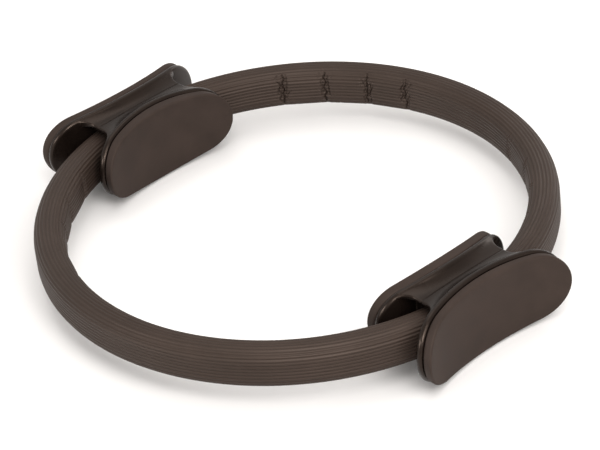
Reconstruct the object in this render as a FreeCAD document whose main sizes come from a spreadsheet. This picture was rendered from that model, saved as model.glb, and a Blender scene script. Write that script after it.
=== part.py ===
import FreeCAD, Part
import math
import os
import Sketcher
from FreeCAD import Placement, Rotation, Vector

# A pilates ring: two padded handles clamp the ends of springy bands that run through foam sleeves.
# Z is up, the ring's axis is Z, the handles lie on the Y axis and the ring rests on the handles' edges.

doc = FreeCAD.newDocument("pilates_ring")

# Driving sizes in millimetres, with angles in degrees
SIZES = {
    # foam sleeves
    "sleeve_outer_radius": 185.0,
    "sleeve_thick": 21.4,
    "sleeve_cover": 2.6,
    "sleeve_flat": 1.7,
    "sleeve_tuck": 9.0,
    "bore_gap": 0.3,
    # spring bands
    "band_thick": 1.7,
    "band_tall": 25.0,
    "leaf_gap": 0.3,
    "band_end_gap": 2.0,
    "band_corner": 3.0,
    "clamp_gap": 0.15,
    # both halves of a handle
    "parting_inset": 6.3,
    "seat_depth": 13.5,
    "flange_half_height": 29.5,
    "flange_thick": 5.2,
    "lip_flat": 0.8,
    "waist_sink": 5.0,
    "waist_drop": 1.0,
    "mouth_half_length": 39.0,
    "mouth_round": 13.0,
    "mouth_recess": 6.0,
    "mouth_wall": 2.2,
    "mouth_relief": 0.3,
    "mouth_edge_round": 1.0,
    "socket_gap": 0.4,
    "tongue_setback": 4.3,
    "tongue_gap": 0.3,
    # outer flange and its pad
    "outer_wing": 29.4,
    "outer_end_ease": 2.5,
    "outer_hollow_radius": 162.5,
    "outer_face_ease": -7.5,
    "outer_pad_thick": 6.8,
    # inner flange and its pad
    "inner_wing": 21.0,
    "inner_end_ease": 3.5,
    "inner_hollow_radius": 133.0,
    "inner_face_ease": 17.0,
    "inner_pad_thick": 9.0,
    # both pads
    "pad_inset": 1.0,
    "pad_round": 2.0,
    "glue_gap": 0.2,
    # clamp screws, washers and nuts
    "screw_pitch": 14.0,
    "screw_bore": 5.0,
    "screw_head": 9.2,
    "head_rim": 0.3,
    "head_sink": 0.3,
    "hex_key": 3.0,
    "key_depth": 1.6,
    "hole_gap": 0.2,
    "pocket_gap": 0.3,
    "nut_flats": 8.0,
    "nut_thick": 4.0,
    "nut_sink": 0.3,
    "tip_back": 0.3,
    "washer_rim": 0.4,
    "washer_thick": 1.0,
}

sheet = doc.addObject("Spreadsheet::Sheet", "Sheet")
for row, (name, value) in enumerate(SIZES.items(), start=1):
    sheet.set(f"A{row}", name)
    sheet.set(f"B{row}", str(value))
    sheet.setAlias(f"B{row}", name)
doc.recompute()


def size(name):
    return float(sheet.get(name))


# Places that several pieces share, each with its formula
BAND_RADIUS = size("sleeve_outer_radius") - size("sleeve_thick") / 2
BAND_TEXT = "(Sheet.sleeve_outer_radius - Sheet.sleeve_thick / 2)"
PARTING = BAND_RADIUS - size("parting_inset")
PARTING_TEXT = f"({BAND_TEXT} - Sheet.parting_inset)"
STACK = size("leaf_gap") / 2 + size("band_thick")
STACK_TEXT = "(Sheet.leaf_gap / 2 + Sheet.band_thick)"
HALF_SLEEVE = size("band_tall") / 2 + size("sleeve_cover")
HALF_SLEEVE_TEXT = "(Sheet.band_tall / 2 + Sheet.sleeve_cover)"
SLEEVE_END = size("mouth_half_length") - size("sleeve_tuck")
SLEEVE_END_TEXT = "(Sheet.mouth_half_length - Sheet.sleeve_tuck)"
SLEEVE_ANGLE_TEXT = f"asin({SLEEVE_END_TEXT} / {BAND_TEXT})"
LIP_ROUND = (size("flange_thick") - size("lip_flat")) / 2
LIP_ROUND_TEXT = "(Sheet.flange_thick - Sheet.lip_flat) / 2"
WASHER = size("nut_flats") / math.sqrt(3) + size("washer_rim")
WASHER_TEXT = "(Sheet.nut_flats / sqrt(3) + Sheet.washer_rim)"
ROOF_TEXT = "2 * (Sheet.flange_half_height - Sheet.waist_sink - Sheet.waist_drop - Sheet.mouth_wall)"
BEYOND = 4 * size("mouth_half_length")
SCREW_STEPS = (-1.5, -0.5, 0.5, 1.5)
FIRST_SCREW = SCREW_STEPS[0] * size("screw_pitch")
HOLE = size("screw_bore") / 2 + size("hole_gap")
HOLE_TEXT = "Sheet.screw_bore / 2 + Sheet.hole_gap"
TOUCHING = 1e-3


class Side:
    """One half of a handle, outer or inner: its seat, its hollow and which way it faces."""

    def __init__(self, name, way):
        self.name = name
        self.way = way
        self.out = "+" if way > 0 else "-"
        self.back = "-" if way > 0 else "+"
        self.seat = PARTING + way * size("seat_depth")
        self.seat_text = f"({PARTING_TEXT} {self.out} Sheet.seat_depth)"
        self.hollow = size(f"{name}_hollow_radius")
        self.hollow_text = f"Sheet.{name}_hollow_radius"
        self.half_length = size("mouth_half_length") + size(f"{name}_wing")
        self.half_length_text = f"(Sheet.mouth_half_length + Sheet.{name}_wing)"
        self.end_radius = size("flange_half_height") - size(f"{name}_end_ease")
        self.end_radius_text = f"(Sheet.flange_half_height - Sheet.{name}_end_ease)"
        self.centre = self.seat + way * self.hollow
        self.centre_text = f"{self.seat_text} {self.out} {self.hollow_text}"

    def oval(self, inset=0.0):
        """Radii, tip place and half height of the flange's four-arc outline, set in by an inset."""
        tip = self.end_radius - inset
        tip_at = self.half_length - self.end_radius
        tall = size("flange_half_height") - inset
        bow = (tip_at ** 2 + tall ** 2 - tip ** 2) / (2 * (tall - tip))
        return tip, tip_at, tall, bow

    def oval_height(self, along, inset=0.0):
        """Half height of the outline at a distance along the handle."""
        tip, tip_at, tall, bow = self.oval(inset)
        if abs(along) > tip_at * bow / (bow - tip):
            return math.sqrt(tip ** 2 - (abs(along) - tip_at) ** 2)
        return math.sqrt(bow ** 2 - along ** 2) - (bow - tall)

    def off_outline(self, place, inset):
        """Distance of a point from the flange's outline."""
        tip, tip_at, tall, bow = self.oval(inset)
        if abs(place.x) > tip_at * bow / (bow - tip):
            return abs(math.hypot(abs(place.x) - tip_at, place.z) - tip)
        return abs(math.hypot(place.x, abs(place.z) + bow - tall) - bow)

    def behind_seat(self, along, depth):
        """Radial place of a point at a depth behind the hollow seat."""
        return self.centre - self.way * math.sqrt((self.hollow + depth) ** 2 - along ** 2)


OUTER = Side("outer", 1)
INNER = Side("inner", -1)

# Where the screws' heads, the nuts and the washers sit
HEAD_TOP = OUTER.seat - size("head_sink")
HEAD_TOP_TEXT = f"({OUTER.seat_text} - Sheet.head_sink)"
NUT_FACE = INNER.seat + size("nut_sink")
NUT_FACE_TEXT = f"({INNER.seat_text} + Sheet.nut_sink)"
NUT_BACK = NUT_FACE + size("nut_thick")
NUT_BACK_TEXT = f"({NUT_FACE_TEXT} + Sheet.nut_thick)"
WASHER_BACK = NUT_BACK + size("washer_thick")
WASHER_BACK_TEXT = f"({NUT_BACK_TEXT} + Sheet.washer_thick)"


# Sketching helpers
def origin_item(body, role):
    return next(item for item in body.Origin.OriginFeatures if item.Role == role)


def new_body(label, turn):
    body = doc.addObject("PartDesign::Body", label)
    body.Label = label
    body.Placement = Placement(Vector(0, 0, size("flange_half_height")), Rotation(Vector(0, 0, 1), turn))
    body.setExpression("Placement.Base.z", "Sheet.flange_half_height")
    return body


def new_sketch(body, role, name, offset=0.0, offset_text=None):
    sketch = body.newObject("Sketcher::SketchObject", name)
    sketch.AttachmentSupport = [(origin_item(body, role), "")]
    sketch.MapMode = "FlatFace"
    sketch.AttachmentOffset = Placement(Vector(0, 0, offset), Rotation())
    if offset_text:
        sketch.setExpression("AttachmentOffset.Base.z", offset_text)
    return sketch


def line(start, end):
    return Part.LineSegment(Vector(*start, 0), Vector(*end, 0))


def arc(start, through, end):
    return Part.Arc(Vector(*start, 0), Vector(*through, 0), Vector(*end, 0))


def draw_loop(sketch, edges, smooth_joints=()):
    """Adds a closed loop of edges and ties each end to the next start, tangent at the joints named."""
    ids = [sketch.addGeometry(edge, False) for edge in edges]
    for joint, (this, following) in enumerate(zip(ids, ids[1:] + ids[:1])):
        ends = [(a, b) for a in (1, 2) for b in (1, 2)]
        gaps = [sketch.getPoint(this, a).distanceToPoint(sketch.getPoint(following, b)) for a, b in ends]
        a, b = ends[gaps.index(min(gaps))]
        kind = "Tangent" if joint in smooth_joints else "Coincident"
        sketch.addConstraint(Sketcher.Constraint(kind, this, a, following, b))
    return ids


def bind(sketch, constraint, formula):
    index = sketch.addConstraint(constraint)
    sketch.setExpression(f"Constraints[{index}]", formula)


def bind_across(sketch, curve, end, formula):
    """Binds a point's distance from the sketch's upright axis, on the side where it lies."""
    value = sketch.getPoint(curve, end).x
    ends = (-1, 1, curve, end) if value > 0 else (curve, end, -1, 1)
    bind(sketch, Sketcher.Constraint("DistanceX", *ends, abs(value)), formula)


def bind_up(sketch, curve, end, formula):
    """Binds a point's distance from the sketch's level axis, on the side where it lies."""
    value = sketch.getPoint(curve, end).y
    ends = (-1, 1, curve, end) if value > 0 else (curve, end, -1, 1)
    bind(sketch, Sketcher.Constraint("DistanceY", *ends, abs(value)), formula)


def bind_centre_up(sketch, curve, formula):
    """Binds a centre on the sketch's upright axis, whichever side of the origin it falls."""
    sketch.addConstraint(Sketcher.Constraint("PointOnObject", curve, 3, -2))
    value = sketch.getPoint(curve, 3).y
    bind(sketch, Sketcher.Constraint("DistanceY", -1, 1, curve, 3, value), formula)


def bind_radius(sketch, curve, radius, formula):
    bind(sketch, Sketcher.Constraint("Radius", curve, radius), formula)


def set_level(sketch, *edges):
    for edge in edges:
        sketch.addConstraint(Sketcher.Constraint("Horizontal", edge))


def set_upright(sketch, *edges):
    for edge in edges:
        sketch.addConstraint(Sketcher.Constraint("Vertical", edge))


def draw_circle(sketch, across, radius, across_text, radius_text):
    """Adds a circle centred on the sketch's level axis."""
    ring = sketch.addGeometry(Part.Circle(Vector(across, 0, 0), Vector(0, 0, 1), radius), False)
    sketch.addConstraint(Sketcher.Constraint("PointOnObject", ring, 3, -1))
    bind_across(sketch, ring, 3, across_text)
    bind_radius(sketch, ring, radius, radius_text)


def draw_screw_circles(sketch, radius, radius_text, steps=SCREW_STEPS):
    for step in steps:
        across_text = f"{abs(step)} * Sheet.screw_pitch"
        draw_circle(sketch, step * size("screw_pitch"), radius, across_text, radius_text)


def draw_box(sketch, near, far, half_tall, near_text, far_text, half_tall_text):
    """Draws a rectangle that stands evenly across the sketch's level axis."""
    corners = [(near, -half_tall), (far, -half_tall), (far, half_tall), (near, half_tall)]
    ids = draw_loop(sketch, [line(corners[i - 1], corners[i]) for i in range(4)])
    set_upright(sketch, ids[0], ids[2])
    set_level(sketch, ids[1], ids[3])
    bind_across(sketch, ids[0], 1, near_text)
    bind_across(sketch, ids[2], 1, far_text)
    bind_up(sketch, ids[1], 1, half_tall_text)
    bind_up(sketch, ids[3], 1, half_tall_text)


def draw_hexagon(sketch, across, flats_name, across_text):
    """Draws a hexagon inside a guide circle centred on the sketch's level axis."""
    corner = size(flats_name) / math.sqrt(3)
    angles = [math.radians(step) for step in range(0, 360, 60)]
    points = [(across + corner * math.cos(angle), corner * math.sin(angle)) for angle in angles]
    ids = draw_loop(sketch, [line(points[i - 1], points[i]) for i in range(6)])
    guide = sketch.addGeometry(Part.Circle(Vector(across, 0, 0), Vector(0, 0, 1), corner), True)
    for side in ids:
        sketch.addConstraint(Sketcher.Constraint("PointOnObject", side, 2, guide))
    for side in ids[1:]:
        sketch.addConstraint(Sketcher.Constraint("Equal", ids[0], side))
    sketch.addConstraint(Sketcher.Constraint("PointOnObject", guide, 3, -1))
    sketch.addConstraint(Sketcher.Constraint("Horizontal", ids[2]))
    bind_across(sketch, guide, 3, across_text)
    bind_radius(sketch, guide, corner, f"Sheet.{flats_name} / sqrt(3)")


def draw_oval(sketch, side, inset_name=None):
    """Draws a four-arc oval, set in from the flange's outline where an inset is named."""
    inset = size(inset_name) if inset_name else 0.0
    less = f" - Sheet.{inset_name}" if inset_name else ""
    tip, tip_at, tall, bow = side.oval(inset)
    meet = tip_at * bow / (bow - tip)
    height = side.oval_height(meet, inset)
    corners = [(meet, -height), (meet, height), (-meet, height), (-meet, -height)]
    middles = [(tip_at + tip, 0), (0, tall), (-tip_at - tip, 0), (0, -tall)]
    arcs = [arc(corners[i], middles[i], corners[(i + 1) % 4]) for i in range(4)]
    ids = draw_loop(sketch, arcs, smooth_joints=range(4))
    tip_text = f"({side.end_radius_text}{less})"
    tip_at_text = f"({side.half_length_text} - {side.end_radius_text})"
    tall_text = f"(Sheet.flange_half_height{less})"
    bow_text = f"({tip_at_text}^2 + {tall_text}^2 - {tip_text}^2) / (2 * ({tall_text} - {tip_text}))"
    for tip_arc in (ids[0], ids[2]):
        sketch.addConstraint(Sketcher.Constraint("PointOnObject", tip_arc, 3, -1))
        bind_across(sketch, tip_arc, 3, tip_at_text)
        bind_radius(sketch, tip_arc, tip, tip_text)
    for bow_arc in (ids[1], ids[3]):
        bind_radius(sketch, bow_arc, bow, bow_text)


def draw_crescent(sketch, side, bows):
    """Draws a curved slab between two bows, each given as its place at mid-length and its radius."""
    half = side.half_length
    ends = [place + side.way * (radius - math.sqrt(radius ** 2 - half ** 2)) for place, radius, _, _ in bows]
    first, second = bows
    ids = draw_loop(sketch, [
        arc((-half, ends[0]), (0, first[0]), (half, ends[0])),
        line((half, ends[0]), (half, ends[1])),
        arc((half, ends[1]), (0, second[0]), (-half, ends[1])),
        line((-half, ends[1]), (-half, ends[0])),
    ])
    for bow_arc, (_, radius, place_text, radius_text) in zip((ids[0], ids[2]), bows):
        bind_centre_up(sketch, bow_arc, f"{place_text} {side.out} {radius_text}")
        bind_radius(sketch, bow_arc, radius, radius_text)
    set_upright(sketch, ids[1], ids[3])
    for edge in (ids[1], ids[3]):
        bind_across(sketch, edge, 1, side.half_length_text)


def draw_arch_plan(sketch, half, floor, reach, half_text, floor_text, reach_text):
    """Draws a plan with straight sides, a straight floor and an end that follows the ring's curve."""
    shoulder = math.sqrt(reach ** 2 - half ** 2)
    ids = draw_loop(sketch, [
        line((-half, floor), (half, floor)),
        line((half, floor), (half, shoulder)),
        arc((half, shoulder), (0, reach), (-half, shoulder)),
        line((-half, shoulder), (-half, floor)),
    ])
    set_level(sketch, ids[0])
    set_upright(sketch, ids[1], ids[3])
    sketch.addConstraint(Sketcher.Constraint("Coincident", ids[2], 3, -1, 1))
    bind_radius(sketch, ids[2], reach, reach_text)
    bind_up(sketch, ids[0], 1, floor_text)
    bind_across(sketch, ids[1], 1, half_text)
    bind_across(sketch, ids[3], 1, half_text)


# Feature helpers
def symmetric_pad(body, sketch, name, length_text):
    pad = body.newObject("PartDesign::Pad", name)
    pad.Profile = sketch
    pad.SideType = "Symmetric"
    pad.setExpression("Length", length_text)
    doc.recompute()


def cut(body, sketch, name, length_text=None, both_ways=True, reverse=False, taper=0.0):
    """Pockets a sketch and makes sure that it took material away."""
    before = body.Shape.Volume
    pocket = body.newObject("PartDesign::Pocket", name)
    pocket.Profile = sketch
    pocket.SideType = "Symmetric" if both_ways else "One side"
    pocket.Reversed = reverse
    pocket.TaperAngle = taper
    if length_text:
        pocket.setExpression("Length", length_text)
    else:
        pocket.Type = "ThroughAll"
    doc.recompute()
    if body.Shape.Volume > before - TOUCHING:
        raise RuntimeError(f"{body.Label} {name} cut nothing")
    return pocket


def round_edges(body, base, name, wanted, radius_text):
    """Rounds the edges that a test picks by the edge, its middle and the faces beside it."""
    names = []
    for number, edge in enumerate(base.Shape.Edges, start=1):
        middle = edge.valueAt((edge.FirstParameter + edge.LastParameter) / 2)
        if wanted(edge, middle, base.Shape.ancestorsOfType(edge, Part.Face)):
            names.append(f"Edge{number}")
    fillet = body.newObject("PartDesign::Fillet", name)
    fillet.Base = (base, names)
    fillet.setExpression("Radius", radius_text)
    doc.recompute()


def add_oval_slab(body, side, bows, radius_text, inset_name=None):
    """Builds a curved slab, trims it to the oval outline and rounds both rims."""
    plan = new_sketch(body, "XY_Plane", f"{body.Label}_bow")
    draw_crescent(plan, side, bows)
    symmetric_pad(body, plan, f"{body.Label}_slab", "3 * Sheet.flange_half_height")
    outline = new_sketch(body, "XZ_Plane", f"{body.Label}_oval")
    corners = [(-BEYOND, -BEYOND), (BEYOND, -BEYOND), (BEYOND, BEYOND), (-BEYOND, BEYOND)]
    draw_loop(outline, [line(corners[i - 1], corners[i]) for i in range(4)])
    draw_oval(outline, side, inset_name)
    trimmed = cut(body, outline, f"{body.Label}_outline")
    inset = size(inset_name) if inset_name else 0.0

    def on_rim(edge, middle, _):
        step = edge.Vertexes[-1].Point - edge.Vertexes[0].Point
        return side.off_outline(middle, inset) < TOUCHING and abs(step.y) < edge.Length - TOUCHING

    round_edges(body, trimmed, f"{body.Label}_rim", on_rim, radius_text)


# Foam sleeves: extruded tubes of flat oval section, bent round half of the ring
def draw_sleeve_section(sketch, gap_name=None):
    """Draws the sleeve's rounded section about the bands' middle line, grown by a named gap."""
    gap = size(gap_name) if gap_name else 0.0
    grown = f"+ Sheet.{gap_name}" if gap_name else "+ 0"
    shrunk = f"- Sheet.{gap_name}" if gap_name else "- 0"
    wide = size("sleeve_thick") / 2 + gap
    tall = HALF_SLEEVE + gap
    corner = wide - size("sleeve_flat")
    quarter = math.pi / 4
    edges = []
    turns = [(1, -1), (1, 1), (-1, 1), (-1, -1)]
    for (x, z), (next_x, next_z) in zip(turns, turns[1:] + turns[:1]):
        centre = Vector(BAND_RADIUS + x * (wide - corner), z * (tall - corner), 0)
        first = math.atan2(z, x) - quarter
        swings = [first, first + quarter, first + 2 * quarter]
        points = [centre + corner * Vector(math.cos(swing), math.sin(swing), 0) for swing in swings]
        edges.append(Part.Arc(*points))
        if next_x == x:
            next_start = Vector(BAND_RADIUS + x * wide, next_z * (tall - corner), 0)
        else:
            next_start = Vector(BAND_RADIUS + next_x * (wide - corner), z * tall, 0)
        edges.append(Part.LineSegment(points[2], next_start))
    ids = draw_loop(sketch, edges, smooth_joints=range(8))
    right, top, left, bottom = ids[1], ids[3], ids[5], ids[7]
    set_upright(sketch, right, left)
    set_level(sketch, top, bottom)
    for other in (ids[2], ids[4], ids[6]):
        sketch.addConstraint(Sketcher.Constraint("Equal", ids[0], other))
    bind_radius(sketch, ids[0], corner, f"Sheet.sleeve_thick / 2 - Sheet.sleeve_flat {grown}")
    bind_across(sketch, right, 1, f"Sheet.sleeve_outer_radius {grown}")
    bind_across(sketch, left, 1, f"Sheet.sleeve_outer_radius - Sheet.sleeve_thick {shrunk}")
    bind_up(sketch, top, 1, f"{HALF_SLEEVE_TEXT} {grown}")
    bind_up(sketch, bottom, 1, f"{HALF_SLEEVE_TEXT} {grown}")


def make_sleeve(label, turn):
    body = new_body(label, turn)
    sketch = new_sketch(body, "XZ_Plane", f"{label}_section")
    draw_sleeve_section(sketch)
    half_bore = STACK + size("bore_gap")
    half_slot = size("band_tall") / 2 + size("bore_gap")
    draw_box(sketch, BAND_RADIUS - half_bore, BAND_RADIUS + half_bore, half_slot,
             f"{BAND_TEXT} - {STACK_TEXT} - Sheet.bore_gap", f"{BAND_TEXT} + {STACK_TEXT} + Sheet.bore_gap",
             "Sheet.band_tall / 2 + Sheet.bore_gap")
    bend = body.newObject("PartDesign::Revolution", f"{label}_bend")
    bend.Profile = sketch
    bend.ReferenceAxis = (sketch, ["V_Axis"])
    bend.Midplane = True
    bend.setExpression("Angle", f"180 deg - 2 * {SLEEVE_ANGLE_TEXT}")
    doc.recompute()
    return body


# Spring bands: two leaves a side, each half a hoop with two screw holes at each end
def make_band(label, turn, leaf):
    body = new_body(label, turn)
    sketch = new_sketch(body, "XZ_Plane", f"{label}_section")
    faces = [(BAND_RADIUS + leaf * size("leaf_gap") / 2, f"{BAND_TEXT} + {leaf} * Sheet.leaf_gap / 2"),
             (BAND_RADIUS + leaf * STACK, f"{BAND_TEXT} + {leaf} * {STACK_TEXT}")]
    (near, near_text), (far, far_text) = sorted(faces)
    draw_box(sketch, near, far, size("band_tall") / 2, near_text, far_text, "Sheet.band_tall / 2")
    hoop = body.newObject("PartDesign::Revolution", f"{label}_hoop")
    hoop.Profile = sketch
    hoop.ReferenceAxis = (sketch, ["V_Axis"])
    hoop.Midplane = True
    hoop.setExpression("Angle", f"180 deg - 2 * asin(Sheet.band_end_gap / (2 * {BAND_TEXT}))")
    doc.recompute()
    holes = new_sketch(body, "XZ_Plane", f"{label}_holes")
    draw_screw_circles(holes, HOLE, HOLE_TEXT, SCREW_STEPS[2:])
    drilled = cut(body, holes, f"{label}_drilling")

    def at_corner(edge, middle, _):
        return abs(edge.Length - size("band_thick")) < TOUCHING and abs(middle.z) > HOLE

    round_edges(body, drilled, f"{label}_corners", at_corner, "Sheet.band_corner")
    return body


# Handle shells: a saddle-shaped waist with an arched mouth at each end, and a hollowed oval flange
def add_waist(body, side):
    """Lofts the half waist between the parting plane and the flange, dished like a saddle."""
    reach = size("mouth_half_length") + size("mouth_round") + size("mouth_relief")
    reach_text = "(Sheet.mouth_half_length + Sheet.mouth_round + Sheet.mouth_relief)"
    waist = size("flange_half_height") - size("waist_sink")
    saddle_share = 0.6
    bite = 0.7 * LIP_ROUND
    sketches = []
    for step in (-1, -0.75, -0.5, -0.25, 0, 0.25, 0.5, 0.75, 1):
        along = step * reach
        valley = waist - size("waist_drop") * (along / size("mouth_half_length")) ** 2
        lip = side.oval_height(along) - size("mouth_relief")
        inside = side.behind_seat(along, size("flange_thick") - bite)
        pull = PARTING + (inside - PARTING) * saddle_share
        number = len(sketches) + 1
        sketch = new_sketch(body, "YZ_Plane", f"{body.Label}_waist_{number}", along, f"{step} * {reach_text}")
        dish = Part.BezierCurve()
        dish.setPoles([Vector(PARTING, valley, 0), Vector(pull, valley, 0), Vector(inside, lip, 0)])
        under = Part.BezierCurve()
        under.setPoles([Vector(inside, -lip, 0), Vector(pull, -valley, 0), Vector(PARTING, -valley, 0)])
        draw_loop(sketch, [
            line((PARTING, -valley), (PARTING, valley)),
            dish.toBSpline(),
            line((inside, lip), (inside, -lip)),
            under.toBSpline(),
        ])
        sketches.append(sketch)
    loft = body.newObject("PartDesign::AdditiveLoft", f"{body.Label}_waist")
    loft.Profile = sketches[0]
    loft.Sections = sketches[1:]
    doc.recompute()


def draw_mouth_plan(sketch, side, end, corner, end_text, corner_text):
    """Draws the space between a flange's wings at both ends, rounded where it turns into the wing."""
    depth = size("flange_thick") - size("mouth_relief")
    depth_text = "Sheet.flange_thick - Sheet.mouth_relief"
    start = PARTING - side.way * corner
    corner_at = side.behind_seat(end + corner, depth + corner)
    outward = Vector(end + corner, corner_at - side.centre, 0)
    meet = outward * ((side.hollow + depth) / outward.Length) + Vector(0, side.centre, 0)
    middle = Vector(end + corner, corner_at, 0)
    bisector = ((meet - middle).normalize() + Vector(-1, 0, 0)).normalize()
    turn = middle + bisector * corner
    far = size("mouth_half_length") + 2 * size("mouth_round")
    half_way = (meet.x + far) / 2
    for hand in (1, -1):
        ids = draw_loop(sketch, [
            line((hand * end, start), (hand * end, corner_at)),
            arc((hand * end, corner_at), (hand * turn.x, turn.y), (hand * meet.x, meet.y)),
            arc((hand * meet.x, meet.y), (hand * half_way, side.behind_seat(half_way, depth)),
                (hand * far, side.behind_seat(far, depth))),
            line((hand * far, side.behind_seat(far, depth)), (hand * far, start)),
            line((hand * far, start), (hand * end, start)),
        ], smooth_joints=(0, 1))
        wall, bend, wing, far_side, floor = ids
        set_upright(sketch, wall, far_side)
        set_level(sketch, floor)
        bind_across(sketch, wall, 1, end_text)
        bind_across(sketch, far_side, 1, "Sheet.mouth_half_length + 2 * Sheet.mouth_round")
        bind_up(sketch, floor, 1, f"{PARTING_TEXT} {side.back} {corner_text}")
        bind_centre_up(sketch, wing, side.centre_text)
        bind_radius(sketch, bend, corner, corner_text)
        bind_radius(sketch, wing, side.hollow + depth, f"{side.hollow_text} + {depth_text}")


def cut_mouths(body, side):
    """Scoops the ends to round arches, softens their edges and hollows the mouths under them."""
    plan = new_sketch(body, "XY_Plane", f"{body.Label}_mouth_plan")
    end = size("mouth_half_length")
    corner = size("mouth_round")
    draw_mouth_plan(plan, side, end, corner, "Sheet.mouth_half_length", "Sheet.mouth_round")
    scooped = cut(body, plan, f"{body.Label}_mouths")

    def on_arch(_, place, faces):
        walls = [face.Surface for face in faces if not isinstance(face.Surface, Part.BSplineSurface)]
        bends = [wall for wall in walls if isinstance(wall, Part.Cylinder)]
        on_bend = any(abs(wall.Radius - corner) < TOUCHING for wall in bends)
        on_wall = abs(abs(place.x) - end) < TOUCHING
        return len(walls) == 1 and abs(place.z) > size("band_tall") / 2 and (on_bend or on_wall)

    round_edges(body, scooped, f"{body.Label}_arches", on_arch, "Sheet.mouth_edge_round")
    hollow = new_sketch(body, "XY_Plane", f"{body.Label}_recess_plan")
    draw_mouth_plan(hollow, side, end - size("mouth_recess"), size("mouth_wall"),
                    "Sheet.mouth_half_length - Sheet.mouth_recess", "Sheet.mouth_wall")
    cut(body, hollow, f"{body.Label}_recesses", ROOF_TEXT)


def add_flange(body, side):
    """Builds the hollowed oval flange with its bead lip and joins it to the waist."""
    flange = doc.addObject("PartDesign::Body", f"{body.Label}_flange")
    thick = size("flange_thick")
    add_oval_slab(flange, side, [
        (side.seat, side.hollow, side.seat_text, side.hollow_text),
        (side.seat - side.way * thick, side.hollow + thick,
         f"{side.seat_text} {side.back} Sheet.flange_thick", f"({side.hollow_text} + Sheet.flange_thick)"),
    ], LIP_ROUND_TEXT)
    joined = body.newObject("PartDesign::Boolean", f"{body.Label}_joined")
    joined.Type = "Fuse"
    joined.setObjects([flange])
    doc.recompute()


def cut_sockets(body):
    """Sinks a socket for each sleeve's end into the arches, along the ring's own curve."""
    for hand, hand_name in ((1, "right"), (-1, "left")):
        sketch = new_sketch(body, "YZ_Plane", f"{body.Label}_{hand_name}_socket")
        start = math.degrees(math.asin((SLEEVE_END - size("socket_gap")) / BAND_RADIUS))
        sketch.AttachmentOffset = Placement(Vector(), Rotation(Vector(0, hand, 0), start))
        sketch.setExpression("AttachmentOffset.Rotation.Angle",
                             f"asin(({SLEEVE_END_TEXT} - Sheet.socket_gap) / {BAND_TEXT})")
        draw_sleeve_section(sketch, "socket_gap")
        before = body.Shape.Volume
        groove = body.newObject("PartDesign::Groove", f"{sketch.Label}_groove")
        groove.Profile = sketch
        groove.ReferenceAxis = (sketch, ["V_Axis"])
        groove.Reversed = hand < 0
        groove.setExpression("Angle", f"2 * {SLEEVE_ANGLE_TEXT}")
        doc.recompute()
        if body.Shape.Volume > before - TOUCHING:
            raise RuntimeError(f"{groove.Label} cut nothing")


def drill_screw_holes(body):
    sketch = new_sketch(body, "XZ_Plane", f"{body.Label}_screw_holes")
    draw_screw_circles(sketch, HOLE, HOLE_TEXT)
    cut(body, sketch, f"{body.Label}_drilling")


def make_outer_shell(label, turn):
    body = new_body(label, turn)
    add_waist(body, OUTER)
    cut_mouths(body, OUTER)
    add_flange(body, OUTER)
    channel = new_sketch(body, "XY_Plane", f"{label}_channel_plan")
    draw_arch_plan(channel, size("mouth_half_length"), PARTING - size("parting_inset"),
                   BAND_RADIUS + STACK + size("clamp_gap"), "Sheet.mouth_half_length",
                   f"{PARTING_TEXT} - Sheet.parting_inset", f"{BAND_TEXT} + {STACK_TEXT} + Sheet.clamp_gap")
    cut(body, channel, f"{label}_channel", "Sheet.band_tall + 2 * Sheet.tongue_gap")
    cut_sockets(body)
    drill_screw_holes(body)
    heads = new_sketch(body, "XZ_Plane", f"{label}_head_pockets", -HEAD_TOP, f"-{HEAD_TOP_TEXT}")
    mouth = size("screw_head") / 2 + size("head_rim") + size("pocket_gap")
    mouth_text = "Sheet.screw_head / 2 + Sheet.head_rim + Sheet.pocket_gap"
    draw_screw_circles(heads, mouth, mouth_text)
    cut(body, heads, f"{label}_head_clearance", both_ways=False)
    cut(body, heads, f"{label}_countersinks", f"{mouth_text} - ({HOLE_TEXT})",
        both_ways=False, reverse=True, taper=-45.0)
    return body


def make_inner_shell(label, turn):
    body = new_body(label, turn)
    add_waist(body, INNER)
    cut_mouths(body, INNER)
    add_flange(body, INNER)
    tongue = new_sketch(body, "XY_Plane", f"{label}_tongue_plan")
    draw_arch_plan(tongue, SLEEVE_END - size("tongue_setback"), PARTING - size("parting_inset"),
                   BAND_RADIUS - STACK - size("clamp_gap"), f"{SLEEVE_END_TEXT} - Sheet.tongue_setback",
                   f"{PARTING_TEXT} - Sheet.parting_inset", f"{BAND_TEXT} - {STACK_TEXT} - Sheet.clamp_gap")
    symmetric_pad(body, tongue, f"{label}_tongue", "Sheet.band_tall")
    cut_sockets(body)
    drill_screw_holes(body)
    pockets = new_sketch(body, "XZ_Plane", f"{label}_nut_pockets", -WASHER_BACK, f"-{WASHER_BACK_TEXT}")
    draw_screw_circles(pockets, WASHER + size("pocket_gap"), f"{WASHER_TEXT} + Sheet.pocket_gap")
    cut(body, pockets, f"{label}_nut_clearance", both_ways=False, reverse=True)
    return body


# Pads: dense foam slabs moulded to the flange's hollow, with softened edges
def make_pad(label, turn, side):
    body = new_body(label, turn)
    glue = size("glue_gap")
    thick_name = f"{side.name}_pad_thick"
    back_text = f"({side.seat_text} {side.out} Sheet.glue_gap)"
    add_oval_slab(body, side, [
        (side.seat + side.way * glue, side.hollow - glue,
         back_text, f"({side.hollow_text} - Sheet.glue_gap)"),
        (side.seat + side.way * (glue + size(thick_name)), side.hollow + size(f"{side.name}_face_ease"),
         f"{back_text} {side.out} Sheet.{thick_name}",
         f"({side.hollow_text} + Sheet.{side.name}_face_ease)"),
    ], "Sheet.pad_round", "pad_inset")
    return body


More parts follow.
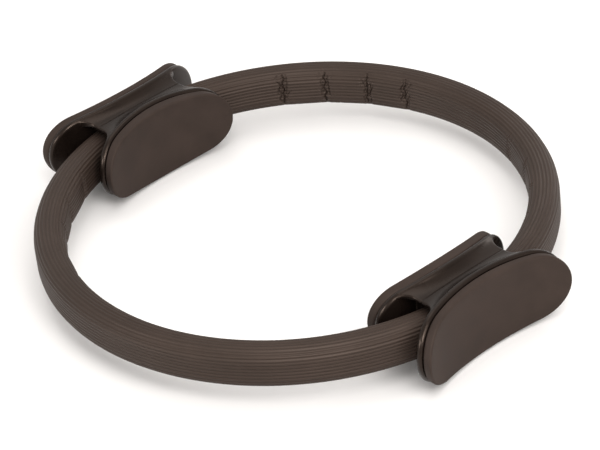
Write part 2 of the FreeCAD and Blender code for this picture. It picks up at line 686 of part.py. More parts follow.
# Clamp hardware: countersunk screws from the outer half, nuts and washers in the inner half
def repeat_along(body, features, name):
    row = body.newObject("PartDesign::LinearPattern", name)
    row.Originals = features
    row.Direction = (origin_item(body, "X_Axis"), [""])
    row.Occurrences = len(SCREW_STEPS)
    row.setExpression("Length", f"{SCREW_STEPS[-1] - SCREW_STEPS[0]} * Sheet.screw_pitch")
    body.Tip = row
    doc.recompute()


def make_screws(label, turn):
    body = new_body(label, turn)
    body.AllowCompound = True
    sketch = new_sketch(body, "XY_Plane", f"{label}_profile")
    shank = FIRST_SCREW + size("screw_bore") / 2
    head = FIRST_SCREW + size("screw_head") / 2
    rim = HEAD_TOP - size("head_rim")
    neck = rim - (head - shank)
    tip = NUT_FACE + size("tip_back")
    ids = draw_loop(sketch, [
        line((FIRST_SCREW, tip), (shank, tip)),
        line((shank, tip), (shank, neck)),
        line((shank, neck), (head, rim)),
        line((head, rim), (head, HEAD_TOP)),
        line((head, HEAD_TOP), (FIRST_SCREW, HEAD_TOP)),
        line((FIRST_SCREW, HEAD_TOP), (FIRST_SCREW, tip)),
    ])
    end, side, cone, edge, top, middle = ids
    set_level(sketch, end, top)
    set_upright(sketch, side, edge, middle)
    middle_text = f"{-SCREW_STEPS[0]} * Sheet.screw_pitch"
    bind_across(sketch, middle, 1, middle_text)
    bind_across(sketch, side, 1, f"{middle_text} - Sheet.screw_bore / 2")
    bind_across(sketch, edge, 1, f"{middle_text} - Sheet.screw_head / 2")
    bind_up(sketch, end, 1, f"{NUT_FACE_TEXT} + Sheet.tip_back")
    bind_up(sketch, top, 1, HEAD_TOP_TEXT)
    bind_up(sketch, cone, 2, f"{HEAD_TOP_TEXT} - Sheet.head_rim")
    bind_up(sketch, cone, 1, f"{HEAD_TOP_TEXT} - Sheet.head_rim - (Sheet.screw_head - Sheet.screw_bore) / 2")
    sketch.addGeometry(line((FIRST_SCREW, tip), (FIRST_SCREW, HEAD_TOP)), True)
    turned = body.newObject("PartDesign::Revolution", f"{label}_turned")
    turned.Profile = sketch
    turned.ReferenceAxis = (sketch, ["Axis0"])
    turned.Angle = 360
    doc.recompute()
    key = new_sketch(body, "XZ_Plane", f"{label}_key", -HEAD_TOP, f"-{HEAD_TOP_TEXT}")
    draw_hexagon(key, FIRST_SCREW, "hex_key", middle_text)
    socket = cut(body, key, f"{label}_key_socket", "Sheet.key_depth", both_ways=False, reverse=True)
    repeat_along(body, [turned, socket], f"{label}_row")
    return body


def make_stack_piece(label, turn, face, face_text, thick_name, draw_outline):
    """Pads one washer or nut up from its inner face and repeats it along the handle."""
    body = new_body(label, turn)
    body.AllowCompound = True
    sketch = new_sketch(body, "XZ_Plane", f"{label}_outline", -face, f"-{face_text}")
    draw_outline(sketch)
    draw_screw_circles(sketch, HOLE, HOLE_TEXT, SCREW_STEPS[:1])
    slab = body.newObject("PartDesign::Pad", f"{label}_slab")
    slab.Profile = sketch
    slab.Reversed = True
    slab.setExpression("Length", f"Sheet.{thick_name}")
    doc.recompute()
    repeat_along(body, [slab], f"{label}_row")
    return body


def draw_washer(sketch):
    draw_screw_circles(sketch, WASHER, WASHER_TEXT, SCREW_STEPS[:1])


def draw_nut(sketch):
    draw_hexagon(sketch, FIRST_SCREW, "nut_flats", f"{-SCREW_STEPS[0]} * Sheet.screw_pitch")


# The assembly: the ring's right and left halves, then the handle at the rear and its twin at the front
pieces = []
for hand, turn in (("right", 0), ("left", 180)):
    pieces.append(make_sleeve(f"{hand}_sleeve", turn))
    pieces.append(make_band(f"{hand}_inner_band", turn, -1))
    pieces.append(make_band(f"{hand}_outer_band", turn, 1))
for end, turn in (("rear", 0), ("front", 180)):
    pieces.append(make_outer_shell(f"{end}_outer_shell", turn))
    pieces.append(make_inner_shell(f"{end}_inner_shell", turn))
    pieces.append(make_pad(f"{end}_outer_pad", turn, OUTER))
    pieces.append(make_pad(f"{end}_inner_pad", turn, INNER))
    pieces.append(make_screws(f"{end}_screws", turn))
    pieces.append(make_stack_piece(
        f"{end}_washers", turn, NUT_BACK, NUT_BACK_TEXT, "washer_thick", draw_washer))
    pieces.append(make_stack_piece(
        f"{end}_nuts", turn, NUT_FACE, NUT_FACE_TEXT, "nut_thick", draw_nut))

# Every object must have recomputed cleanly before anything is written
doc.recompute()
for item in doc.Objects:
    if "Invalid" in item.State or "Error" in item.State:
        raise RuntimeError(f"{item.Label} failed: {item.State}")
for piece in pieces:
    if piece.Shape.isNull() or not piece.Shape.isValid():
        raise RuntimeError(f"{piece.Label} has no valid shape")
os.makedirs("parts", exist_ok=True)
for piece in pieces:
    piece.Shape.exportStep(os.path.join("parts", f"{piece.Label}.step"))
    print(piece.Label, len(piece.Shape.Solids), round(piece.Shape.Volume, 1))
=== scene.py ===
import math
import random

import bmesh
import bpy
from mathutils import Matrix, Vector, noise
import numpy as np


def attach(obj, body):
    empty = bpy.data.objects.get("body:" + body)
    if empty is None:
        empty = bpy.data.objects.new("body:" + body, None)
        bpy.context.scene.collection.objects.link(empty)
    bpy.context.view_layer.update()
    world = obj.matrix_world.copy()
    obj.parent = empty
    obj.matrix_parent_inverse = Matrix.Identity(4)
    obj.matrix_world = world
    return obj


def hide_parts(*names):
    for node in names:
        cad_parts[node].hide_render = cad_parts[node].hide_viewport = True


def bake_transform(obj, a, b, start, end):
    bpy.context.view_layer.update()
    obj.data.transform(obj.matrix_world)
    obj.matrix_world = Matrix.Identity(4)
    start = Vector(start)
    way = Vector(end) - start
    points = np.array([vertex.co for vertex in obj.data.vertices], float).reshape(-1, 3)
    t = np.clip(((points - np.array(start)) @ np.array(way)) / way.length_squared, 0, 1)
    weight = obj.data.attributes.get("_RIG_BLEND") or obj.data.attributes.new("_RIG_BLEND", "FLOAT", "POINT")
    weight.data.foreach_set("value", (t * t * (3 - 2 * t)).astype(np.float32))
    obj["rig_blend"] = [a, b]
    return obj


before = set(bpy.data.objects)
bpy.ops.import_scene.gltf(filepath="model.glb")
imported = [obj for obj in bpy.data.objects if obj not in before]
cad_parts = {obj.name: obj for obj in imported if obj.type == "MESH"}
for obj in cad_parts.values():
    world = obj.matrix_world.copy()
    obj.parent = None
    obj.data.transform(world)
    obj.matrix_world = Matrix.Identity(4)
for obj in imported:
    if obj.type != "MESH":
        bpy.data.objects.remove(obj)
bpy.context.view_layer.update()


# Spring leaves: the hoop's spring is two flat glass-fibre strips on each side, laid one on the
# other and bent to the circle. They run inside the foam sleeves and end clamped in the handles.
# Each side is made as two quarters, so that each quarter can flex towards its own handle.
HOOP_MIDDLE = Vector((0, 0, 0.0295))
HOOP_RADIUS = 0.1743
LEAF_THICK = 0.0017
LEAF_PARTING = 0.0003
LEAF_TALL = 0.025
LEAF_CORNER = 0.0003
LEAF_CORNER_STEPS = 2
LEAF_END = 0.001
LEAF_STEPS = 120
LEAF_REACH = 90 - math.degrees(math.asin(LEAF_END / HOOP_RADIUS))
HANDLE_REACH = 0.165
RESIN_DARK = (0.010, 0.010, 0.011, 1)
RESIN_PALE = (0.030, 0.029, 0.030, 1)
QUARTERS = (
    ("right_rear", "rear_handle", 0, 1),
    ("right_front", "front_handle", 0, -1),
    ("left_rear", "rear_handle", 180, -1),
    ("left_front", "front_handle", 180, 1),
)


def start_finish(name, roughness):
    """A new material with its shader, and a maker of further nodes in it."""
    finish = bpy.data.materials.new(name)
    finish.use_nodes = True
    tree = finish.node_tree
    shader = tree.nodes["Principled BSDF"]
    shader.inputs["Roughness"].default_value = roughness

    def add(kind, links=(), **settings):
        node = tree.nodes.new(kind)
        for key, value in settings.items():
            if key in node.inputs:
                node.inputs[key].default_value = value
            else:
                setattr(node, key, value)
        for source, target in links:
            tree.links.new(source, node.inputs[target])
        return node

    def join(source, target):
        tree.links.new(source, shader.inputs[target])

    return finish, shader, add, join


def two_tone(add, factor, dark, pale, low=0.3, high=0.7):
    """Runs a pattern between a dark and a pale shade of one colour."""
    ramp = add("ShaderNodeValToRGB", links=[(factor, "Fac")])
    ramp.color_ramp.elements[0].position = low
    ramp.color_ramp.elements[0].color = dark
    ramp.color_ramp.elements[1].position = high
    ramp.color_ramp.elements[1].color = pale
    return ramp


def gloss_range(add, factor, least, most):
    """Runs a pattern between the least and the most roughness of a finish."""
    spread = add("ShaderNodeMapRange", links=[(factor, "Value")])
    spread.inputs["To Min"].default_value = least
    spread.inputs["To Max"].default_value = most
    return spread


def finish_piece(bm, name, material):
    """Turns a finished bmesh into a smooth object at the origin with one material."""
    mesh = bpy.data.meshes.new(name)
    bm.to_mesh(mesh)
    bm.free()
    for polygon in mesh.polygons:
        polygon.use_smooth = True
    mesh.materials.append(material)
    piece = bpy.data.objects.new(name, mesh)
    bpy.context.scene.collection.objects.link(piece)
    return piece


def section_face(bm, radius, thick, tall, corner, segments):
    """A rounded rectangle that stands across the hoop on its +X side."""
    corners = [bm.verts.new((radius + across * thick / 2, 0, HOOP_MIDDLE.z + up * tall / 2))
               for across, up in ((1, -1), (1, 1), (-1, 1), (-1, -1))]
    bm.faces.new(corners)
    bmesh.ops.bevel(bm, geom=corners, offset=corner, offset_type="OFFSET", segments=segments,
                    profile=0.5, affect="VERTICES", material=-1)


def sweep_round_hoop(bm, start, stretches):
    """Carries the drawn sections round the hoop in stretches, each a turn and its count of steps."""
    bmesh.ops.delete(bm, geom=bm.faces[:], context="FACES_ONLY")
    bmesh.ops.rotate(bm, verts=bm.verts[:], cent=(0, 0, 0),
                     matrix=Matrix.Rotation(math.radians(start), 3, "Z"))
    first = bm.edges[:]
    leading = bm.verts[:] + first
    for turn, steps in stretches:
        leading = bmesh.ops.spin(bm, geom=leading, cent=(0, 0, 0), axis=(0, 0, 1),
                                 angle=math.radians(turn), steps=steps, use_merge=False)["geom_last"]
    last = [item for item in leading if isinstance(item, bmesh.types.BMEdge)]
    return first, last


def sharpen_ends(edges):
    """Keeps a cut end crisp where the sides are shaded smooth."""
    for edge in edges:
        edge.smooth = False


def flex_to_handle(piece, handle, side, way):
    """Lets a quarter follow the hoop at its middle and its handle at the end."""
    towards = way if side == "right" else -way
    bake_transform(piece, "ring", handle, HOOP_MIDDLE, HOOP_MIDDLE + Vector((0, towards * HANDLE_REACH, 0)))


resin, _, add, join = start_finish("glass_fibre_resin", 0.35)
place = add("ShaderNodeTexCoord").outputs["Object"]
strands = add("ShaderNodeTexNoise", links=[(place, "Vector")], Scale=900, Detail=3)
join(two_tone(add, strands.outputs["Fac"], RESIN_DARK, RESIN_PALE).outputs["Color"], "Base Color")
join(gloss_range(add, strands.outputs["Fac"], 0.28, 0.46).outputs["Result"], "Roughness")

for quarter, handle, start, way in QUARTERS:
    side = quarter.split("_")[0]
    bm = bmesh.new()
    for step in (-0.5, 0.5):
        leaf_radius = HOOP_RADIUS + step * (LEAF_THICK + LEAF_PARTING)
        section_face(bm, leaf_radius, LEAF_THICK, LEAF_TALL, LEAF_CORNER, LEAF_CORNER_STEPS)
    ends = sweep_round_hoop(bm, start, [(way * LEAF_REACH, LEAF_STEPS)])
    for edges in ends:
        bmesh.ops.holes_fill(bm, edges=edges, sides=0)
        sharpen_ends(edges)
    bmesh.ops.recalc_face_normals(bm, faces=bm.faces[:])
    leaves = finish_piece(bm, f"{quarter}_leaves", resin)
    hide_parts(f"{side}_inner_band", f"{side}_outer_band")
    flex_to_handle(leaves, handle, side, way)


# Foam sleeves: extruded tubes of soft closed-cell foam with fine lengthwise ribs, pushed over the
# leaves and tucked into the handles' mouths. Bending them to the hoop has buckled the skin on the
# inside into upright creases, with the foam lying flat from one crease to the next.
SLEEVE_THICK = 0.0214
SLEEVE_TALL = 0.0302
SLEEVE_CORNER = 0.009
SLEEVE_CORNER_STEPS = 40
SLEEVE_SIDE_LEAST = 0.002
SLEEVE_TUCK_ANGLE = 9.911
BORE_THICK = 0.0043
BORE_TALL = 0.0256
BORE_CORNER = 0.0005
BORE_CORNER_STEPS = 2
RIB_COUNT = 34
RIB_DEPTH = 0.00025
RIB_STEP = 0.00035
CREASES = {
    "right_rear": dict(angles=(18.05, 28.8, 40.0, 50.8), cracked=1.0, flattened=1.0),
    "left_rear": dict(angles=(18.5, 28.0, 34.7, 41.9, 51.6, 62.9), cracked=0.3, flattened=1.3),
    "right_front": dict(angles=(21.0, 33.5, 44.0, 56.5), cracked=0.5, flattened=0.1),
    "left_front": dict(angles=(19.0, 30.5, 43.0, 54.0), cracked=0.5, flattened=0.1),
}
CREASE_ZONE = 2.0
CREASE_STEP = 0.11
FLAT_STEP = 0.55
CREASE_DEPTH = 0.0018
CREASE_WIDTH = 0.0005
CREASE_LOW = -0.0135
CREASE_HIGH = 0.0148
CREASE_FADE = 0.0035
CREASE_WANDER = 0.0018
CREASE_WANDER_PACE = 260
CREASE_SEED = 11
SIDE_CRACKS = ((0.8, 0.0026), (0.55, -0.0021))
SIDE_CRACK_WIDTH = CREASE_WIDTH * 0.8
SIDE_CRACK_SHORT_LOW = 0.008
SIDE_CRACK_SHORT_HIGH = 0.006
SIDE_CRACK_LEAN = 0.1
BRANCHES = 18
BRANCH_HALF = (0.002, 0.004)
BRANCH_DEPTH = (0.3, 0.6)
BRANCH_WIDTH = (0.6, 0.9)
BRANCH_ABOVE_LOW = 0.009
BRANCH_BELOW_HIGH = 0.003
BRANCH_ASIDE = 0.0048
BRANCH_LEAN = 0.8
PHASE_SPAN = 50
INNER_FACE = 0.003
INNER_FADE = 0.006
NOTCH_DEPTH = 0.0006
NOTCH_WIDTH = 0.0022
FLAT_TOP = 0.013
FLAT_FADE = 0.007
FOAM_DARK = (0.0166, 0.0107, 0.0082, 1)
FOAM_PALE = (0.0388, 0.0260, 0.0204, 1)
FOAM_SEAT = HOOP_RADIUS - SLEEVE_THICK / 2
SLEEVE_GIRTH = 0.0877


def rib_section(bm, around):
    """Raises the ribs round the drawn section, and notes how far round each point is."""
    bm.verts.ensure_lookup_table()
    loop_start = bm.verts[0]
    vert = loop_start
    edge = vert.link_edges[0]
    walk = []
    length = 0.0
    while True:
        walk.append((vert, length))
        length += edge.calc_length()
        vert = edge.other_vert(vert)
        if vert == loop_start:
            break
        edge = next(other for other in vert.link_edges if other != edge)
    outwards = {}
    middle = Vector((HOOP_RADIUS, 0, HOOP_MIDDLE.z))
    for number, (vert, _) in enumerate(walk):
        before = walk[number - 1][0].co
        after = walk[(number + 1) % len(walk)][0].co
        normal = (after - before).cross(Vector((0, 1, 0))).normalized()
        outwards[vert] = normal if normal.dot(vert.co - middle) > 0 else -normal
    for vert, at in walk:
        vert[around] = at / length
        rib = math.cos(2 * math.pi * RIB_COUNT * at / length)
        vert.co += outwards[vert] * RIB_DEPTH * rib


def part_sweep(angles, sweep, way):
    """Parts the sweep into long steps along the flats and short ones over each crease."""
    stretches = []
    reached = 0
    for angle in angles:
        stretches.append((angle - CREASE_ZONE - reached, FLAT_STEP))
        stretches.append((2 * CREASE_ZONE, CREASE_STEP))
        reached = angle + CREASE_ZONE
    stretches.append((sweep - reached, FLAT_STEP))
    return [(way * turn, math.ceil(turn / step)) for turn, step in stretches]


def draw_wrinkles(draw, depth):
    """One crease: a long crack, two shorter ones beside it and small wrinkles that branch off them.

    Each is a depth, a width, a place aside of the crease, a lean, a lower and an upper end, and a
    number that sets how it wanders.
    """
    side = draw.choice((-1, 1))
    wrinkles = [(depth, CREASE_WIDTH, 0, 0, CREASE_LOW, CREASE_HIGH, draw.uniform(0, PHASE_SPAN))]
    for share, aside in SIDE_CRACKS:
        low = draw.uniform(CREASE_LOW, CREASE_LOW + SIDE_CRACK_SHORT_LOW)
        high = draw.uniform(CREASE_HIGH - SIDE_CRACK_SHORT_HIGH, CREASE_HIGH)
        wrinkles.append((depth * share, SIDE_CRACK_WIDTH, side * aside,
                         draw.uniform(-SIDE_CRACK_LEAN, SIDE_CRACK_LEAN),
                         low, high, draw.uniform(0, PHASE_SPAN)))
    for _ in range(BRANCHES):
        middle = draw.uniform(CREASE_LOW + BRANCH_ABOVE_LOW, CREASE_HIGH - BRANCH_BELOW_HIGH)
        half = draw.uniform(*BRANCH_HALF)
        wrinkles.append((depth * draw.uniform(*BRANCH_DEPTH), CREASE_WIDTH * draw.uniform(*BRANCH_WIDTH),
                         draw.uniform(-BRANCH_ASIDE, BRANCH_ASIDE), draw.uniform(-BRANCH_LEAN, BRANCH_LEAN),
                         middle - half, middle + half, draw.uniform(0, PHASE_SPAN)))
    return wrinkles


def sunk_by(wrinkles, aside, rise):
    """How deep a crease's wrinkles lie at a place on the inner face."""
    sunk = 0.0
    for depth, width, at, lean, low, high, phase in wrinkles:
        if not low < rise < high:
            continue
        fade_low = min(1.0, (rise - low) / CREASE_FADE)
        fade_high = min(1.0, (high - rise) / CREASE_FADE)
        fade = fade_low * fade_high
        wander = noise.noise((phase, rise * CREASE_WANDER_PACE, 0)) * CREASE_WANDER
        near = aside - at - wander - lean * (rise - (low + high) / 2)
        sunk = max(sunk, depth * fade * math.exp(-(near / width) ** 2))
    return sunk


def crease_skin(bm, start, way, angles, cracked, flattened, seed):
    """Buckles the inner face: wrinkles at each crease, and foam drawn flat from one to the next."""
    draw = random.Random(seed)
    creases = [(angle, draw_wrinkles(draw, CREASE_DEPTH * cracked)) for angle in angles]
    for vert in bm.verts:
        out = math.hypot(vert.co.x, vert.co.y)
        if out > HOOP_RADIUS - INNER_FACE:
            continue
        inner = min(1.0, (HOOP_RADIUS - INNER_FACE - out) / INNER_FADE)
        rise = vert.co.z - HOOP_MIDDLE.z
        drawn = flattened * min(1.0, max(0.0, FLAT_TOP - rise) / FLAT_FADE)
        along = (math.degrees(math.atan2(vert.co.y, vert.co.x)) - start) * way
        along = (along + 180) % 360 - 180
        move = 0.0
        for angle, wrinkles in creases:
            if abs(along - angle) < CREASE_ZONE:
                aside = math.radians(along - angle) * FOAM_SEAT
                move -= sunk_by(wrinkles, aside, rise)
                move -= NOTCH_DEPTH * drawn * math.exp(-(aside / NOTCH_WIDTH) ** 2)
        for before, after in zip(angles, angles[1:]):
            if before < along < after:
                share = (2 * along - before - after) / (after - before)
                chord = FOAM_SEAT * (1 - math.cos(math.radians(after - before) / 2))
                move += chord * drawn * (1 - share * share)
        vert.co += Vector((-vert.co.x, -vert.co.y, 0)).normalized() * inner * move


def lay_skin_map(bm, start):
    """Unrolls the skin: u runs along the hoop and v round the section, both in metres."""
    skin = bm.loops.layers.uv.new("skin")
    around = bm.verts.layers.float["around"]
    for face in bm.faces:
        marks = [loop.vert[around] for loop in face.loops]
        wraps = max(marks) - min(marks) > 0.5
        for loop, mark in zip(face.loops, marks):
            turn = math.degrees(math.atan2(loop.vert.co.y, loop.vert.co.x)) - start
            turn = (turn + 180) % 360 - 180
            v = mark + 1 if wraps and mark < 0.5 else mark
            loop[skin].uv = (math.radians(turn) * HOOP_RADIUS, v * SLEEVE_GIRTH)


foam, shader, add, join = start_finish("sleeve_foam_skin", 0.5)
shader.inputs["Specular IOR Level"].default_value = 0.28
shader.inputs["Specular Tint"].default_value = (1.0, 0.82, 0.72, 1)
place = add("ShaderNodeTexCoord").outputs["Object"]
unrolled = add("ShaderNodeUVMap", uv_map="skin").outputs["UV"]
drawn_out = add("ShaderNodeMapping", links=[(unrolled, "Vector")], Scale=(18, 1500, 1))
streaks = add("ShaderNodeTexNoise", links=[(drawn_out.outputs["Vector"], "Vector")], Scale=1, Detail=2)
clouds = add("ShaderNodeTexNoise", links=[(place, "Vector")], Scale=38, Detail=3)
cells = add("ShaderNodeTexNoise", links=[(place, "Vector")], Scale=2400, Detail=1)
# Painted shade and painted highlight on the ribs: a cosine round the section darkens each groove and
# lightens each ridge. It is mixed a fifth into the random mottling of the foam's colour.
girthwise = add("ShaderNodeSeparateXYZ", links=[(unrolled, "Vector")]).outputs["Y"]
phase = add("ShaderNodeMath", links=[(girthwise, 0)], operation="MULTIPLY")
phase.inputs[1].default_value = 2 * math.pi * RIB_COUNT / SLEEVE_GIRTH
rib_light_and_shade = add("ShaderNodeMath", links=[(phase.outputs[0], 0)], operation="COSINE").outputs[0]
rib_light_and_shade = add("ShaderNodeMapRange", links=[(rib_light_and_shade, "Value")])
rib_light_and_shade.inputs["From Min"].default_value = -1
mottled = add("ShaderNodeMix", links=[(streaks.outputs["Fac"], "A"), (clouds.outputs["Fac"], "B")])
mottle_and_rib_shading = add("ShaderNodeMix", links=[(mottled.outputs["Result"], "A"), (rib_light_and_shade.outputs["Result"], "B")])
mottle_and_rib_shading.inputs["Factor"].default_value = 0.2
join(two_tone(add, mottle_and_rib_shading.outputs["Result"], FOAM_DARK, FOAM_PALE, 0.2, 0.8).outputs["Color"], "Base Color")
join(gloss_range(add, streaks.outputs["Fac"], 0.42, 0.60).outputs["Result"], "Roughness")
grain = add("ShaderNodeBump", links=[(cells.outputs["Fac"], "Height")], Strength=0.25, Distance=0.0002)
lines = add("ShaderNodeBump", Strength=0.3, Distance=0.0003,
            links=[(streaks.outputs["Fac"], "Height"), (grain.outputs["Normal"], "Normal")])
join(lines.outputs["Normal"], "Normal")

for number, (quarter, handle, start, way) in enumerate(QUARTERS):
    side = quarter.split("_")[0]
    bm = bmesh.new()
    around = bm.verts.layers.float.new("around")
    section_face(bm, HOOP_RADIUS, SLEEVE_THICK, SLEEVE_TALL, SLEEVE_CORNER, SLEEVE_CORNER_STEPS)
    flat_sides = [edge for edge in bm.edges if edge.calc_length() > SLEEVE_SIDE_LEAST]
    for edge in flat_sides:
        bmesh.ops.subdivide_edges(bm, edges=[edge], cuts=round(edge.calc_length() / RIB_STEP) - 1)
    rib_section(bm, around)
    section_face(bm, HOOP_RADIUS, BORE_THICK, BORE_TALL, BORE_CORNER, BORE_CORNER_STEPS)
    creases = CREASES[quarter]
    stretches = part_sweep(creases["angles"], 90 - SLEEVE_TUCK_ANGLE, way)
    ends = sweep_round_hoop(bm, start, stretches)
    for edges in ends:
        bmesh.ops.bridge_loops(bm, edges=edges)
        sharpen_ends(edges)
    crease_skin(bm, start, way, **creases, seed=CREASE_SEED + number)
    bmesh.ops.recalc_face_normals(bm, faces=bm.faces[:])
    lay_skin_map(bm, start)
    sleeve = finish_piece(bm, f"{quarter}_sleeve", foam)
    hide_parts(f"{side}_sleeve")
    flex_to_handle(sleeve, handle, side, way)


# Handle shells: two injection-moulded halves to a handle, in dark satin plastic. They meet face to
# face over the leaves, with bead lips round the flanges and arched mouths for the sleeves.
SHELL_DARK = (0.0052, 0.0034, 0.0027, 1)
SHELL_PALE = (0.0095, 0.0063, 0.0050, 1)
SHELL_EDGE = 0.0016

shell, shader, add, join = start_finish("shell_satin_plastic", 0.26)
shader.inputs["Specular IOR Level"].default_value = 0.25
shader.inputs["Specular Tint"].default_value = (1.0, 0.78, 0.66, 1)
place = add("ShaderNodeTexCoord").outputs["Object"]
flow = add("ShaderNodeTexNoise", links=[(place, "Vector")], Scale=45, Detail=4)
join(two_tone(add, flow.outputs["Fac"], SHELL_DARK, SHELL_PALE).outputs["Color"], "Base Color")
join(gloss_range(add, flow.outputs["Fac"], 0.20, 0.34).outputs["Result"], "Roughness")
spark = add("ShaderNodeTexNoise", links=[(place, "Vector")], Scale=1600, Detail=2)
eased = add("ShaderNodeBevel", samples=8, Radius=SHELL_EDGE)
skin = add("ShaderNodeBump", Strength=0.08, Distance=0.0002,
           links=[(spark.outputs["Fac"], "Height"), (eased.outputs["Normal"], "Normal")])
join(skin.outputs["Normal"], "Normal")

for end in ("rear", "front"):
    for half in ("outer", "inner"):
        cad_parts[f"{end}_{half}_shell"].data.materials[0] = shell


# Fasteners: four zinc-plated countersunk screws to a handle, each through the leaves into a washer
# and a nut that sit in pockets under the inner pad.
ZINC_DARK = (0.38, 0.38, 0.40, 1)
ZINC_PALE = (0.58, 0.58, 0.60, 1)

zinc, shader, add, join = start_finish("bright_zinc_plate", 0.3)
shader.inputs["Metallic"].default_value = 1.0
place = add("ShaderNodeTexCoord").outputs["Object"]
plating = add("ShaderNodeTexNoise", links=[(place, "Vector")], Scale=350, Detail=3)
join(two_tone(add, plating.outputs["Fac"], ZINC_DARK, ZINC_PALE).outputs["Color"], "Base Color")
join(gloss_range(add, plating.outputs["Fac"], 0.22, 0.42).outputs["Result"], "Roughness")

for end in ("rear", "front"):
    for kind in ("screws", "washers", "nuts"):
        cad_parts[f"{end}_{kind}"].data.materials[0] = zinc


# Palm pads: ovals of dense moulded foam with rounded rims, glued into the shells' hollow flanges.
# The outer ones are dished for the palms, the inner ones are gently bowed for the knees.
PAD_HALF_HEIGHT = 0.0285
PAD_RIM = 0.0020
PAD_RIM_STEPS = 7
PAD_POINTS = 240
PAD_RINGS = 6
PAD_RING_STEP = 0.0034
MANY_SIDED = 8
PAD_DARK = (0.0225, 0.0150, 0.0121, 1)
PAD_PALE = (0.0325, 0.0220, 0.0180, 1)
PADS = {
    "outer": dict(half=0.0674, tip=0.026, back_at=0.1817, face_at=0.1885,
                  back_bow=-0.1623, face_bow=-0.155),
    "inner": dict(half=0.0590, tip=0.025, back_at=0.1543, face_at=0.1453,
                  back_bow=0.1328, face_bow=0.150),
}


def pad_rise(along, half, tip):
    """Half the pad's height at a place along it: a flat bow that runs into round tips."""
    tip_at = half - tip
    bow = (tip_at ** 2 + PAD_HALF_HEIGHT ** 2 - tip ** 2) / (2 * (PAD_HALF_HEIGHT - tip))
    along = abs(along)
    if along < tip_at * bow / (bow - tip):
        return PAD_HALF_HEIGHT - bow + math.sqrt(bow ** 2 - along ** 2)
    return math.sqrt(max(0.0, tip ** 2 - (along - tip_at) ** 2))


def bowed(at, bow, along):
    """Where a bowed face lies at a place along it. A negative bow is hollow outwards."""
    return at - bow + math.copysign(math.sqrt(bow ** 2 - along ** 2), bow)


pad_foam, shader, add, join = start_finish("pad_foam_skin", 0.66)
shader.inputs["Specular IOR Level"].default_value = 0.24
shader.inputs["Specular Tint"].default_value = (1.0, 0.84, 0.76, 1)
place = add("ShaderNodeTexCoord").outputs["Object"]
clouds = add("ShaderNodeTexNoise", links=[(place, "Vector")], Scale=60, Detail=4)
cells = add("ShaderNodeTexNoise", links=[(place, "Vector")], Scale=1900, Detail=2)
join(two_tone(add, clouds.outputs["Fac"], PAD_DARK, PAD_PALE).outputs["Color"], "Base Color")
join(gloss_range(add, clouds.outputs["Fac"], 0.58, 0.78).outputs["Result"], "Roughness")
grain = add("ShaderNodeBump", links=[(cells.outputs["Fac"], "Height")], Strength=0.22, Distance=0.00025)
join(grain.outputs["Normal"], "Normal")

for end, way in (("rear", 1), ("front", -1)):
    for half, form in PADS.items():
        thick = abs(form["face_at"] - form["back_at"])
        bm = bmesh.new()
        disc = bmesh.ops.create_circle(bm, cap_ends=True, segments=PAD_POINTS, radius=1)
        for vert in disc["verts"]:
            along = form["half"] * vert.co.x
            rise = math.copysign(pad_rise(along, form["half"], form["tip"]), vert.co.y)
            vert.co = Vector((along, 0, rise))
        slab = bmesh.ops.extrude_face_region(bm, geom=bm.faces[:], use_keep_orig=True)
        raised = [item for item in slab["geom"] if isinstance(item, bmesh.types.BMVert)]
        bmesh.ops.translate(bm, verts=raised, vec=(0, thick, 0))
        rims = [edge for edge in bm.edges
                if abs(edge.verts[0].co.y - edge.verts[1].co.y) < thick / 2]
        bmesh.ops.bevel(bm, geom=rims, offset=PAD_RIM, offset_type="OFFSET", segments=PAD_RIM_STEPS,
                        profile=0.5, affect="EDGES", material=-1)
        for _ in range(PAD_RINGS):
            flats = [face for face in bm.faces if len(face.verts) > MANY_SIDED]
            for flat in flats:
                bmesh.ops.inset_region(bm, faces=[flat], thickness=PAD_RING_STEP, use_even_offset=True)
        flats = [face for face in bm.faces if len(face.verts) > MANY_SIDED]
        bmesh.ops.triangulate(bm, faces=flats)
        for vert in bm.verts:
            along = vert.co.x
            share = vert.co.y / thick
            back = bowed(form["back_at"], form["back_bow"], along)
            face = bowed(form["face_at"], form["face_bow"], along)
            vert.co.y = back + share * (face - back)
        bmesh.ops.translate(bm, verts=bm.verts[:], vec=HOOP_MIDDLE)
        if way < 0:
            bmesh.ops.rotate(bm, verts=bm.verts[:], cent=(0, 0, 0),
                             matrix=Matrix.Rotation(math.pi, 3, "Z"))
        bmesh.ops.remove_doubles(bm, verts=bm.verts[:], dist=1e-6)
        bmesh.ops.recalc_face_normals(bm, faces=bm.faces[:])
        pad = finish_piece(bm, f"{end}_{half}_palm_pad", pad_foam)
        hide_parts(f"{end}_{half}_pad")
        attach(pad, f"{end}_handle")


# Floor: a wide sheet of white studio paper that the ring lies flat on,
# with a faint unevenness in its tone.
FLOOR_HALF = 6.0
FLOOR_PALE = (0.95, 0.95, 0.95, 1)
FLOOR_DULL = (0.92, 0.92, 0.92, 1)

paper, shader, add, join = start_finish("white_paper_sweep", 0.9)
shader.inputs["Specular IOR Level"].default_value = 0.1
place = add("ShaderNodeTexCoord").outputs["Object"]
fibre = add("ShaderNodeTexNoise", links=[(place, "Vector")], Scale=3, Detail=2)
join(two_tone(add, fibre.outputs["Fac"], FLOOR_DULL, FLOOR_PALE).outputs["Color"], "Base Color")
bm = bmesh.new()
bmesh.ops.create_grid(bm, x_segments=2, y_segments=2, size=FLOOR_HALF)
floor = finish_piece(bm, "floor", paper)


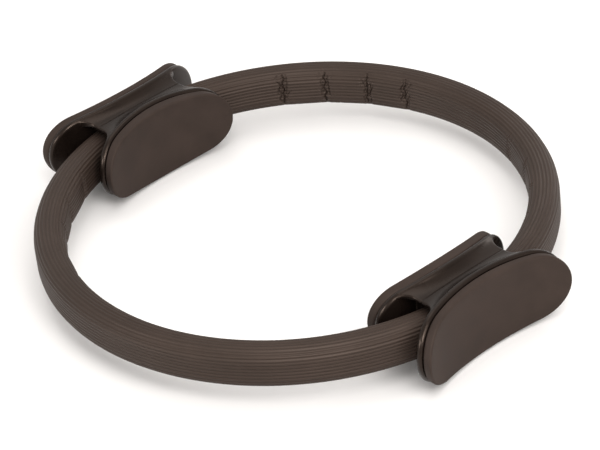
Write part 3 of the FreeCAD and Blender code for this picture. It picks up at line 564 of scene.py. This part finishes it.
# Light: a broad softbox in front, two overhead and a small one at the right, in a pale room.
# Two further lamps only shine: they put the glints on the plastic's edges and the sleeves' ribs.
LIGHT_WARMTH = (1.0, 0.968, 0.940)
ROOM_STRENGTH = 0.85
LIGHTS = (
    ("front_softbox", (-0.15, -1.5, 1.1), 1.0, 15, True),
    ("front_top_softbox", (-0.6, -0.9, 1.9), 1.0, 13, True),
    ("back_top_softbox", (0.3, 0.6, 1.9), 1.2, 8.5, True),
    ("right_softbox", (1.6, 0.4, 0.8), 0.4, 3, True),
    ("left_glint", (-1.7, 0.55, 0.75), 0.5, 18, False),
    ("front_glint", (-0.91, -1.13, 1.22), 0.5, 26, False),
)
for name, at, width, power, lights_up in LIGHTS:
    lamp = bpy.data.lights.new(name, "AREA")
    lamp.shape = "SQUARE"
    lamp.size = width
    lamp.energy = power
    lamp.color = LIGHT_WARMTH
    softbox = bpy.data.objects.new(name, lamp)
    softbox.location = at
    softbox.rotation_euler = (HOOP_MIDDLE - Vector(at)).to_track_quat("-Z", "Y").to_euler()
    softbox.visible_diffuse = lights_up
    bpy.context.scene.collection.objects.link(softbox)
room = bpy.data.worlds.new("white_room")
room.use_nodes = True
walls = room.node_tree.nodes["Background"]
walls.inputs["Color"].default_value = (*LIGHT_WARMTH, 1)
walls.inputs["Strength"].default_value = ROOM_STRENGTH
bpy.context.scene.world = room
bpy.context.scene.view_settings.view_transform = "Standard"


# Camera: a long lens that looks down on the ring from its left front,
# rolled a little about its own axis.
VIEW_AZIMUTH = math.radians(-38.8)
VIEW_ELEVATION = math.radians(34.04)
VIEW_ROLL = math.radians(-6.72)
VIEW_DISTANCE = 2.320
VIEW_LENS = 198
VIEW_SENSOR = 36
VIEW_ASIDE = 0.00236
VIEW_DOWN = 0.0078

back = Vector((math.sin(VIEW_AZIMUTH) * math.cos(VIEW_ELEVATION),
               -math.cos(VIEW_AZIMUTH) * math.cos(VIEW_ELEVATION), math.sin(VIEW_ELEVATION)))
right = Vector((math.cos(VIEW_AZIMUTH), math.sin(VIEW_AZIMUTH), 0))
up = back.cross(right)
level = math.cos(VIEW_ROLL) * right + math.sin(VIEW_ROLL) * up
upright = math.cos(VIEW_ROLL) * up - math.sin(VIEW_ROLL) * right
lens = bpy.data.cameras.new("studio_camera")
lens.lens = VIEW_LENS
lens.sensor_width = VIEW_SENSOR
camera = bpy.data.objects.new("studio_camera", lens)
camera.matrix_world = Matrix((level, upright, back)).transposed().to_4x4()
camera.location = HOOP_MIDDLE + back * VIEW_DISTANCE + level * VIEW_ASIDE - upright * VIEW_DOWN
bpy.context.scene.collection.objects.link(camera)
bpy.context.scene.camera = camera
